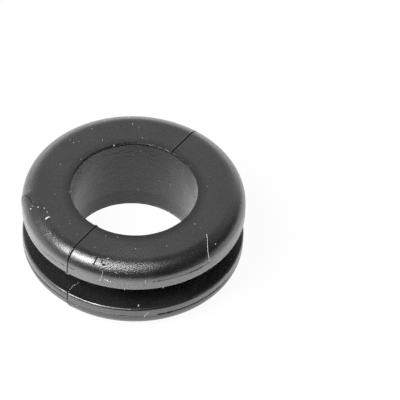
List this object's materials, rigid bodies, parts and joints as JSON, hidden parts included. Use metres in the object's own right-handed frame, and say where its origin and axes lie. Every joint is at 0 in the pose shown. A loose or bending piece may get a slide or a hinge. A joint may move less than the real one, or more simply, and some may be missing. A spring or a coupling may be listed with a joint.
{
  "type": "rubber grommet",
  "caption": "Open round grommet: a soft ring with a plain cable bore and a panel groove between rounded flanges.",
  "frame": {"origin": "centre of the lower flange's flat face, on the axis of the bore, where the part stands on a surface", "axes": "+Z along the axis of the cable bore, up through both flanges; the part is round, and the mould's split plane crosses it at 55 degrees from +X"},
  "size_m": [0.022, 0.022, 0.0084],
  "materials": {
    "black_rubber": "satin moulded black rubber"
  },
  "bodies": {
    "root": {"grommet": "black_rubber"}
  },
  "joints": []
}
